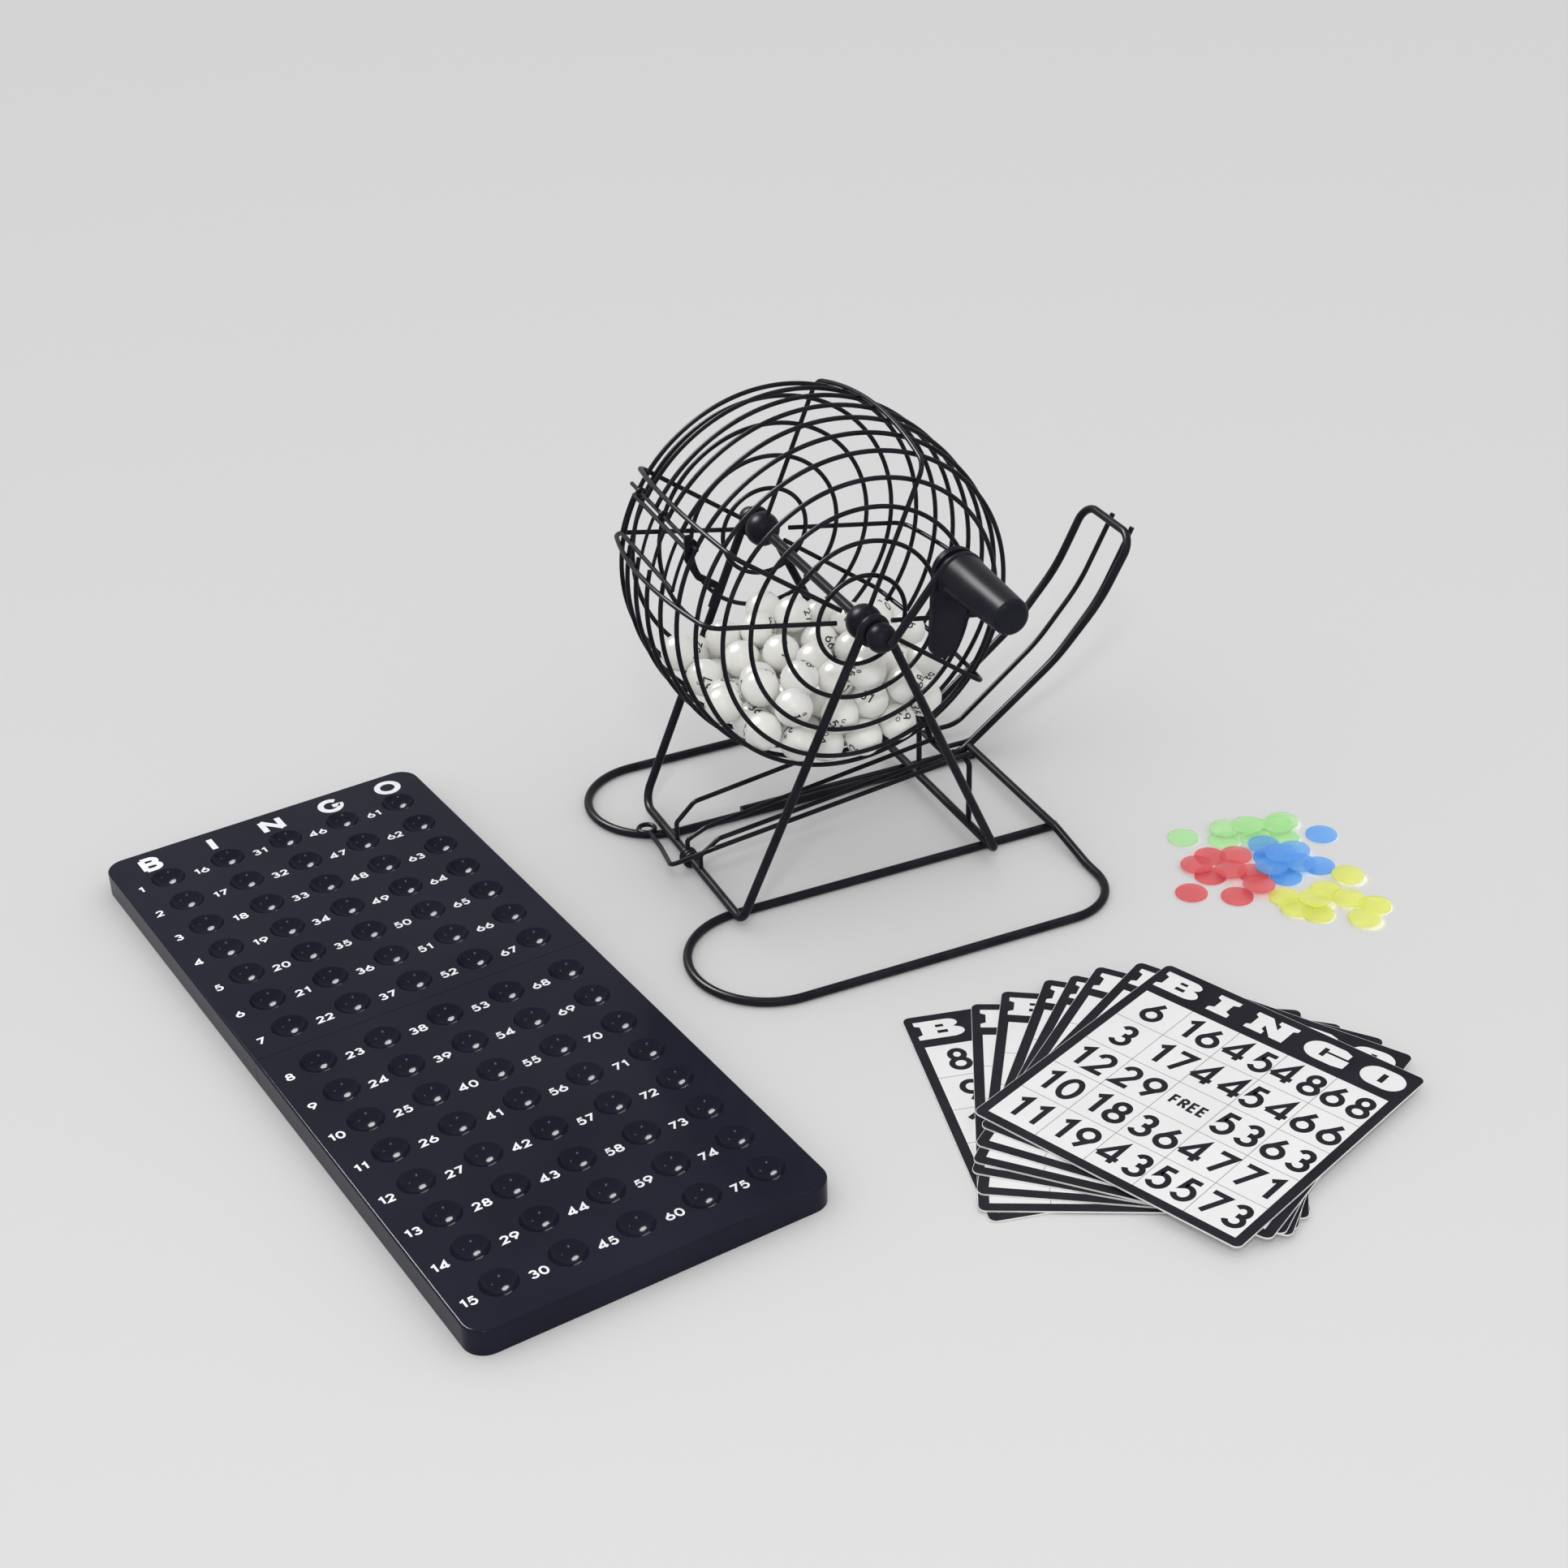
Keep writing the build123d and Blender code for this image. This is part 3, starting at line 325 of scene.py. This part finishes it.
def ribbonOf(line, width):
    # a flat band along a line: each point moves half a width to both sides along the joint's mitre
    closed = np.allclose(line[0], line[-1])
    runs = np.diff(line, axis=0)
    runs = runs / np.linalg.norm(runs, axis=1)[:, None]
    before = np.vstack((runs[-1:] if closed else runs[:1], runs))
    after = np.vstack((runs, runs[:1] if closed else runs[-1:]))
    sideBefore = np.column_stack((-before[:, 1], before[:, 0]))
    sideAfter = np.column_stack((-after[:, 1], after[:, 0]))
    mitre = sideBefore + sideAfter
    mitre = mitre / np.maximum(np.linalg.norm(mitre, axis=1), tiny)[:, None]
    reach = width / 2 / np.maximum((mitre * sideAfter).sum(1), strokeValues["mitreLeast"])
    left = line + mitre * reach[:, None]
    right = line - mitre * reach[:, None]
    count = len(line)
    points = np.vstack((left, right))
    step = np.arange(count - 1)
    faces = np.column_stack((step + count, step + count + 1, step + 1, step))
    return points, faces


def fineLine(line, longest):
    # extra points on long runs, so that a band can follow a curved surface
    pieces = [line[:1]]
    for first, last in zip(line, line[1:]):
        count = max(1, int(np.ceil(np.linalg.norm(last - first) / longest)))
        shares = np.linspace(0, 1, count + 1)[1:, None]
        pieces.append(first + (last - first) * shares)
    return np.vstack(pieces)


def inkWord(word, values):
    # the bands of a word, centred on its own middle, each band a little above the one before
    height, width, gap = values["height"], values["stroke"], values["gap"]
    tall = height - width
    wide = tall * values["stretch"]
    across, bands = 0.0, []
    for letter in word:
        reach, strokes = glyphs[letter]
        for count, stroke in enumerate(strokes):
            line = stroke * (wide, tall) + (across + width / 2, width / 2)
            if values.get("longest"):
                line = fineLine(line, values["longest"])
            bands.append((*ribbonOf(line, width), count))
        across += reach * wide + width + gap
    middle = np.array(((across - gap) / 2, height / 2))
    points, faces, start = [], [], 0
    for band, quads, count in bands:
        flat = np.column_stack((band - middle, np.full(len(band), count * values["lift"])))
        points.append(flat)
        faces.append(quads + start)
        start += len(flat)
    return np.vstack(points), np.vstack(faces)


def boxSheet(left, top, right, bottom, height):
    # the corners of an upright box in a sheet's plane; top and bottom count down from the sheet's edge
    return np.array(((left, -bottom, height), (right, -bottom, height), (right, -top, height),
                     (left, -top, height)))


def sheetPart(points, finish):
    # one flat face through all of its points
    return points, [list(range(len(points)))], finish


# the finishes of a card's print, and their numbers in the list
cardFinishes = ("cardBlack", "cardWhite", "cardLine")
black, white, grey = range(3)


def slabLetter(letter, values, wide, place):
    # a white outline centred on its place, with its dark openings a little above it
    width, outline, openings = slabShapes[letter]
    scale = values["height"] * np.array((wide, 1.0))
    middle = np.array((width / 2, 0.5))
    flat = (outline - middle) * scale
    parts = [sheetPart(np.column_stack((flat, np.zeros(len(flat)))) + place, white)]
    for low, high in openings:
        (left, bottom), (right, top) = (np.array(low) - middle) * scale, (np.array(high) - middle) * scale
        parts.append(sheetPart(boxSheet(left, -top, right, -bottom, values["lift"]) + place, black))
    return parts


def gathered(parts):
    # several (points, faces, finish) parts as one set of arrays
    points, faces, finish, start = [], [], [], 0
    for partPoints, partFaces, partFinish in parts:
        points.append(partPoints)
        faces.extend((np.asarray(partFaces) + start).tolist())
        finish.extend([partFinish] * len(partFaces))
        start += len(partPoints)
    return np.vstack(points), faces, finish


def turnedOnTable(points, corner, turn):
    # points in a sheet's own plane, turned about the vertical and moved to its corner
    angle = math.radians(turn)
    spin = np.array(((math.cos(angle), -math.sin(angle), 0), (math.sin(angle), math.cos(angle), 0),
                     (0, 0, 1)))
    return points @ spin.T + np.asarray(corner, float)


# master board
boardValues = {"corner": (-403.2, 143.6, 14.8), "turn": 7.6, "firstX": 28.1, "firstY": 35.0,
               "pitchX": 37.3, "pitchY": 29.82, "seamExtra": 8.6, "rows": perLetter, "farRows": 7,
               "lift": 0.03, "numberShift": -18.2, "numberDrop": 4.4, "letterX": 25.0, "letterPitch": 38.6,
               "letterY": 15.2,
               "number": {"height": 6.2, "stroke": 1.2, "gap": 0.6, "stretch": 1.25, "lift": 0.006},
               "letter": {"height": 16.0, "stroke": 3.7, "gap": 0.0, "stretch": 1.25, "lift": 0.006}}


def makeBoardPrint(values):
    # white numbers beside the dimples, counted down each column, and the five letters over them
    parts = {"far": [], "near": []}
    for column, letter in enumerate(gameLetters):
        for row in range(values["rows"]):
            points, faces = inkWord(str(values["rows"] * column + row + 1), values["number"])
            down = values["firstY"] + values["pitchY"] * row
            down += values["numberDrop"] + (values["seamExtra"] if row >= values["farRows"] else 0)
            place = (values["firstX"] + values["pitchX"] * column + values["numberShift"], -down,
                     values["lift"])
            parts["far" if row < values["farRows"] else "near"].append((points + place, faces, 0))
        points, faces = inkWord(letter, values["letter"])
        place = (values["letterX"] + values["letterPitch"] * column, -values["letterY"], values["lift"])
        parts["far"].append((points + place, faces, 0))
    for half, inks in parts.items():
        points, faces, finish = gathered(inks)
        meshPiece(f"board_print_{half}", turnedOnTable(points, values["corner"], values["turn"]), faces,
                  ["boardPaint"], f"board_{half}", finish)


makeBoardPrint(boardValues)
print("board printed")

# cards
cardValues = {"width": 163.0, "length": 174.0, "thick": 0.9, "rise": 0.93, "corner": 4.0, "placeX": 111.7,
              "placeY": -220.5, "edge": 0.2, "cornerPoints": 7, "headHeight": 28.4, "sideMargin": 5.75,
              "cells": 5, "cellWidth": 30.3, "cellHeight": 27.94, "lineWidth": 0.45, "letterY": 13.6,
              "letterShifts": (-3.0, -5.0, -4.6, -0.4, 3.0),
              "letterWidthShares": (1.0, 0.78, 0.88, 0.96, 0.98),
              "letter": {"height": 16.2, "lift": 0.004},
              "number": {"height": 19.5, "stroke": 3.3, "gap": 2.5, "stretch": 1.0, "lift": 0.002},
              "free": {"height": 8.5, "stroke": 1.7, "gap": 0.9, "stretch": 1.0, "lift": 0.002},
              "inkLift": 0.005, "panelLift": 0.010, "lineLift": 0.015, "numberLift": 0.019, "seed": 7,
              "shares": ((-0.875, 0.166, -12.6), (-0.645, 0.132, -27.3), (-0.528, 0.143, -33.2),
                         (-0.376, 0.132, -42.2), (-0.292, 0.109, -47.1), (-0.198, 0.106, -51.8),
                         (-0.072, 0.061, -59.4), (0.0, 0.0, -67.2))}
# the top card's numbers down each column, with 0 for its free cell
topCardNumbers = ((6, 3, 12, 10, 11), (16, 17, 29, 18, 19), (45, 44, 0, 36, 43), (48, 54, 53, 47, 55),
                  (68, 66, 63, 71, 73))


def roundedSheet(values, height):
    # the outline of a card's print with round corners, a little inside its edges, card corner at the origin
    width, length, corner = values["width"], values["length"], values["corner"]
    reach = corner - values["edge"]
    turns = np.radians(np.linspace(0, 90, values["cornerPoints"]))
    middles = ((width - corner, -corner), (corner, -corner), (corner, corner - length),
               (width - corner, corner - length))
    outline = []
    for quarter, (x, y) in enumerate(middles):
        angles = turns + math.radians(90 * quarter)
        outline.append(np.column_stack((x + reach * np.cos(angles), y + reach * np.sin(angles))))
    outline = np.vstack(outline)
    return np.column_stack((outline, np.full(len(outline), height)))


def makeCardPrint(count, numbers, values):
    # black ground, white panel, grey lines, black numbers and the five slab letters
    parts = [sheetPart(roundedSheet(values, values["inkLift"]), black)]
    cells, cellWidth, cellHeight = values["cells"], values["cellWidth"], values["cellHeight"]
    left, top = values["sideMargin"], values["headHeight"]
    right, bottom = left + cellWidth * cells, top + cellHeight * cells
    parts.append(sheetPart(boxSheet(left, top, right, bottom, values["panelLift"]), white))
    half = values["lineWidth"] / 2
    for step in range(1, cells):
        x, y = left + cellWidth * step, top + cellHeight * step
        parts.append(sheetPart(boxSheet(x - half, top, x + half, bottom, values["lineLift"]), grey))
        for piece in range(cells):
            # a line across stops short of each line that runs down
            start = left + cellWidth * piece + (half if piece else 0)
            end = left + cellWidth * (piece + 1) - (half if piece < cells - 1 else 0)
            parts.append(sheetPart(boxSheet(start, y - half, end, y + half, values["lineLift"]), grey))
    for column, letter in enumerate(gameLetters):
        middle = left + cellWidth * (column + 0.5)
        place = (middle + values["letterShifts"][column], -values["letterY"], values["panelLift"])
        parts.extend(slabLetter(letter, values["letter"], values["letterWidthShares"][column], place))
        for row, number in enumerate(numbers[column]):
            word, style = (str(number), "number") if number else ("FREE", "free")
            points, faces = inkWord(word, values[style])
            place = (middle, -(top + cellHeight * (row + 0.5)), values["numberLift"])
            parts.append((points + place, faces, black))
    points, faces, finish = gathered(parts)
    shareX, shareY, turn = values["shares"][count]
    corner = (values["placeX"] + values["length"] * shareX, values["placeY"] + values["length"] * shareY,
              values["rise"] * count + values["thick"])
    meshPiece(f"card_print_{count + 1}", turnedOnTable(points, corner, turn), faces, cardFinishes, "cards",
              finish)


def makeCards(values):
    # every card but the top one draws its own numbers, five from each letter's fifteen
    draw = np.random.default_rng(values["seed"])
    cells = values["cells"]
    for count in range(len(values["shares"])):
        numbers = [draw.choice(perLetter, cells, replace=False) + perLetter * column + 1
                   for column in range(cells)]
        numbers[cells // 2][cells // 2] = 0
        if count == len(values["shares"]) - 1:
            numbers = topCardNumbers
        makeCardPrint(count, numbers, values)


makeCards(cardValues)
print("cards printed")

# balls
ballValues = {"radius": 11.1, "count": 75, "axisHeight": 178.28, "barrelRadius": 102.2, "swell": 6.5,
              "ringPitch": 18.0, "ringsEachSide": 3, "rodRings": (1, 6), "wire": 2.7, "gap": 0.3,
              "leastGapShare": 0.3, "faceLimit": 52.45, "catchY": -33.8, "catchHalf": 0.75,
              "catchInner": 75.5, "rodGap": 1.38, "beyond": 1000.0, "rings": 16, "turns": 24, "seed": 21,
              "startLow": (-52.0, -50.0, -70.0), "startHigh": (52.0, 50.0, 60.0), "steps": 900,
              "fastShare": 0.5, "fallShare": 0.8, "fastFall": 0.5, "slowFall": 0.12, "fallPasses": 3,
              "restPasses": 6, "inkLift": 0.03, "numberUp": -1.2, "letterUp": 4.3,
              "number": {"height": 6.0, "stroke": 0.9, "gap": 0.6, "stretch": 0.95, "lift": 0.004,
                         "longest": 0.9},
              "letter": {"height": 2.9, "stroke": 0.5, "gap": 0.3, "stretch": 0.95, "lift": 0.004,
                         "longest": 0.9}}


def wallRadius(y, values):
    # how far from the axis a ball's middle may be: inside the nearest rings and the gate's straight rod
    eachSide = values["ringsEachSide"]
    half = values["ringPitch"] * eachSide
    arc = (half**2 + values["swell"] ** 2) / (2 * values["swell"])
    rings = np.arange(-eachSide, eachSide + 1) * values["ringPitch"]
    ringRadius = values["barrelRadius"] - arc + np.sqrt(arc**2 - rings**2)
    reach = values["radius"] + values["wire"] / 2 + values["gap"]
    apart = np.abs(y[:, None] - rings)
    dip = np.sqrt(np.maximum(reach**2 - apart**2, 0))
    limit = np.where(apart < reach, ringRadius - dip, values["beyond"]).min(1)
    first, last = values["rodRings"]
    slope = (ringRadius[last] - ringRadius[first]) / (rings[last] - rings[first])
    rod = ringRadius[first] + (y - rings[first]) * slope + values["rodGap"] - values["gap"] - values["radius"]
    return np.minimum(limit, rod)


def settledBalls(values):
    # balls dropped into the drum, placed from the middle of its axis: a small fall at each step, then
    # each other, the wall and the catch's ring push them back
    draw = np.random.default_rng(values["seed"])
    count, radius = values["count"], values["radius"]
    places = np.column_stack([draw.uniform(low, high, count)
                              for low, high in zip(values["startLow"], values["startHigh"])])
    least = radius * 2 + values["gap"] * values["leastGapShare"]
    pairA, pairB = np.triu_indices(count, 1)
    steps = values["steps"]
    for step in range(steps):
        falling = step < steps * values["fallShare"]
        if falling:
            places[:, 2] -= values["fastFall" if step < steps * values["fastShare"] else "slowFall"]
        for again in range(values["fallPasses" if falling else "restPasses"]):
            apart = places[pairA] - places[pairB]
            distance = np.maximum(np.linalg.norm(apart, axis=1), tiny)
            push = np.maximum(least - distance, 0) / distance / 2
            move = apart * push[:, None]
            np.add.at(places, pairA, move)
            np.add.at(places, pairB, -move)
            places[:, 1] = np.clip(places[:, 1], -values["faceLimit"], values["faceLimit"])
            out = np.hypot(places[:, 0], places[:, 2])
            # the catch sweeps a thin ring round the axis, so balls stay off both of its faces
            fromCatch = places[:, 1] - values["catchY"]
            inside = np.maximum(values["catchInner"] - out, 0)
            room = np.sqrt(np.maximum((radius + values["gap"]) ** 2 - inside**2, 0)) + values["catchHalf"]
            side = np.where(fromCatch < 0, -1.0, 1.0)
            places[:, 1] = np.where(np.abs(fromCatch) < room, values["catchY"] + side * room, places[:, 1])
            places[:, 1] = np.clip(places[:, 1], -values["faceLimit"], values["faceLimit"])
            limit = wallRadius(places[:, 1], values)
            shrink = np.minimum(limit / np.maximum(out, tiny), 1.0)
            places[:, 0] *= shrink
            places[:, 2] *= shrink
    apart = places[pairA] - places[pairB]
    print("balls settled, nearest pair", round(float(np.linalg.norm(apart, axis=1).min()), 3),
          "top", round(float(places[:, 2].max()) + radius, 1))
    return places


def randomTurns(draw, count):
    # random rotation matrices from unit quaternions
    w, x, y, z = draw.normal(size=(4, count))
    size = np.sqrt(w * w + x * x + y * y + z * z)
    w, x, y, z = w / size, x / size, y / size, z / size
    return np.stack((np.stack((1 - 2 * (y * y + z * z), 2 * (x * y - z * w), 2 * (x * z + y * w)), -1),
                     np.stack((2 * (x * y + z * w), 1 - 2 * (x * x + z * z), 2 * (y * z - x * w)), -1),
                     np.stack((2 * (x * z - y * w), 2 * (y * z + x * w), 1 - 2 * (x * x + y * y)), -1)), 1)


def ballShape(values):
    # a sphere of rings between two poles: x and y from the turn round the axis, z from the height angle
    rings, turns = values["rings"], values["turns"]
    height = np.pi * np.arange(1, rings) / rings
    turn = 2 * np.pi * np.arange(turns) / turns
    grid = np.stack((np.sin(height)[:, None] * np.cos(turn), np.sin(height)[:, None] * np.sin(turn),
                     np.cos(height)[:, None] * np.ones(turns)), -1).reshape(-1, 3)
    points = np.vstack((grid, ((0, 0, 1), (0, 0, -1)))) * values["radius"]
    row, column = np.meshgrid(np.arange(rings - 2), np.arange(turns), indexing="ij")
    following = (column + 1) % turns
    quads = np.stack((row * turns + column, (row + 1) * turns + column, (row + 1) * turns + following,
                      row * turns + following), -1).reshape(-1, 4)
    column = np.arange(turns)
    following = (column + 1) % turns
    top, low = len(grid), len(grid) + 1
    caps = [(top, a, b) for a, b in zip(column, following)]
    last = (rings - 2) * turns
    caps += [(low, last + b, last + a) for a, b in zip(column, following)]
    return points, quads, caps


def ontoBall(points, radius, lift):
    # a flat print laid on a ball's top: the distance from the middle becomes an angle
    away = np.maximum(np.hypot(points[:, 0], points[:, 1]), tiny)
    angle = away / radius
    direction = np.column_stack((points[:, 0] / away * np.sin(angle), points[:, 1] / away * np.sin(angle),
                                 np.cos(angle)))
    return direction * (radius + lift + points[:, 2:3])


def makeBalls(values):
    # each ball takes a settled place and a random turn, and shows its number and letter on two sides
    places = settledBalls(values)
    draw = np.random.default_rng(values["seed"] + 1)
    turns = randomTurns(draw, values["count"])
    order = draw.permutation(values["count"])
    ballPoints, ballQuads, ballCaps = ballShape(values)
    flip = np.diag((1.0, -1.0, -1.0))
    for group, letter in enumerate(gameLetters):
        shells, prints = [], []
        for ball in range(group * perLetter, (group + 1) * perLetter):
            chosen = order[ball]
            middle = places[chosen] + (0, 0, values["axisHeight"])
            turned = ballPoints @ turns[chosen].T + middle
            shells += [(turned, ballQuads, 0), (turned, ballCaps, 0)]
            for word, style, up in ((str(ball + 1), "number", "numberUp"), (letter, "letter", "letterUp")):
                points, faces = inkWord(word, values[style])
                laid = ontoBall(points + (0, values[up], 0), values["radius"], values["inkLift"])
                for side in (np.eye(3), flip):
                    prints.append((laid @ side.T @ turns[chosen].T + middle, faces, 0))
        mark = letter.lower()
        points, faces, finish = gathered(shells)
        shell = meshPiece(f"ball_set_{mark}", points, faces, ["ballPlastic"], "ball_load",
                          finish, smooth=True)
        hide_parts(f"balls_{mark}")
        points, faces, finish = gathered(prints)
        meshPiece(f"ball_print_{mark}", points, faces, ["ballInk"], "ball_load", finish,
                  smooth=True)


makeBalls(ballValues)
print("balls made")

# floor, world and lamps
stageValues = {"floorReach": 6.0, "floorStep": 5, "floorDrop": 0.0002, "floorRoughness": 0.9,
               "floorTone": (0.74, 0.735, 0.74), "worldTone": (1.0, 1.0, 1.0), "worldStrength": 0.88,
               "seenTone": (0.745, 0.74, 0.745)}
lampValues = {
    "backLamp": {"direction": (-0.32, 0.55, 0.77), "distance": 2.2, "size": 1.0, "power": 170.0,
                 "diffuse": False},
    "sideLamp": {"direction": (0.43, -0.11, 0.90), "distance": 2.2, "size": 0.25, "power": 3.0,
                 "diffuse": False},
    "frontLamp": {"direction": (-0.35, -0.68, 0.85), "distance": 2.4, "size": 0.35, "power": 9.0,
                  "diffuse": True},
}


def makeFloor(values):
    mesh = bpy.data.meshes.new("floor")
    reach = values["floorReach"]
    turns = np.radians(np.arange(0, 360, values["floorStep"]))
    rim = [(reach * math.cos(turn), reach * math.sin(turn), -values["floorDrop"]) for turn in turns]
    mesh.from_pydata(rim, [], [list(range(len(rim)))])
    material = bpy.data.materials.new("floorPaper")
    material.use_nodes = True
    shader = material.node_tree.nodes["Principled BSDF"]
    shader.inputs["Base Color"].default_value = (*values["floorTone"], 1)
    shader.inputs["Roughness"].default_value = values["floorRoughness"]
    shader.inputs["Specular IOR Level"].default_value = 0.0
    mesh.materials.append(material)
    floor = bpy.data.objects.new("floor", mesh)
    bpy.context.scene.collection.objects.link(floor)


def makeWorld(values):
    # one tone that lights the set, and a darker one where the camera, a reflection or a chip shows it
    world = bpy.data.worlds.new("studio")
    bpy.context.scene.world = world
    world.use_nodes = True
    tree = world.node_tree
    tree.nodes.clear()
    lighting = tree.nodes.new("ShaderNodeBackground")
    lighting.inputs["Color"].default_value = (*values["worldTone"], 1)
    lighting.inputs["Strength"].default_value = values["worldStrength"]
    seen = tree.nodes.new("ShaderNodeBackground")
    seen.inputs["Color"].default_value = (*values["seenTone"], 1)
    rays = tree.nodes.new("ShaderNodeLightPath")
    either = mathNode(tree, "MAXIMUM", rays.outputs["Is Camera Ray"], rays.outputs["Is Transmission Ray"])
    mix = tree.nodes.new("ShaderNodeMixShader")
    tree.links.new(mathNode(tree, "MAXIMUM", either, rays.outputs["Is Glossy Ray"]), mix.inputs["Fac"])
    tree.links.new(lighting.outputs[0], mix.inputs[1])
    tree.links.new(seen.outputs[0], mix.inputs[2])
    out = tree.nodes.new("ShaderNodeOutputWorld")
    tree.links.new(mix.outputs[0], out.inputs["Surface"])


def makeLamp(name, values):
    data = bpy.data.lights.new(name, "AREA")
    data.shape = "DISK"
    data.size = values["size"]
    data.energy = values["power"]
    lamp = bpy.data.objects.new(name, data)
    lamp.visible_diffuse = values["diffuse"]
    direction = Vector(values["direction"]).normalized()
    lamp.location = direction * values["distance"]
    lamp.rotation_euler = direction.to_track_quat("Z", "Y").to_euler()
    bpy.context.scene.collection.objects.link(lamp)


makeFloor(stageValues)
makeWorld(stageValues)
for lampName, values in lampValues.items():
    makeLamp(lampName, values)
print("stage made")
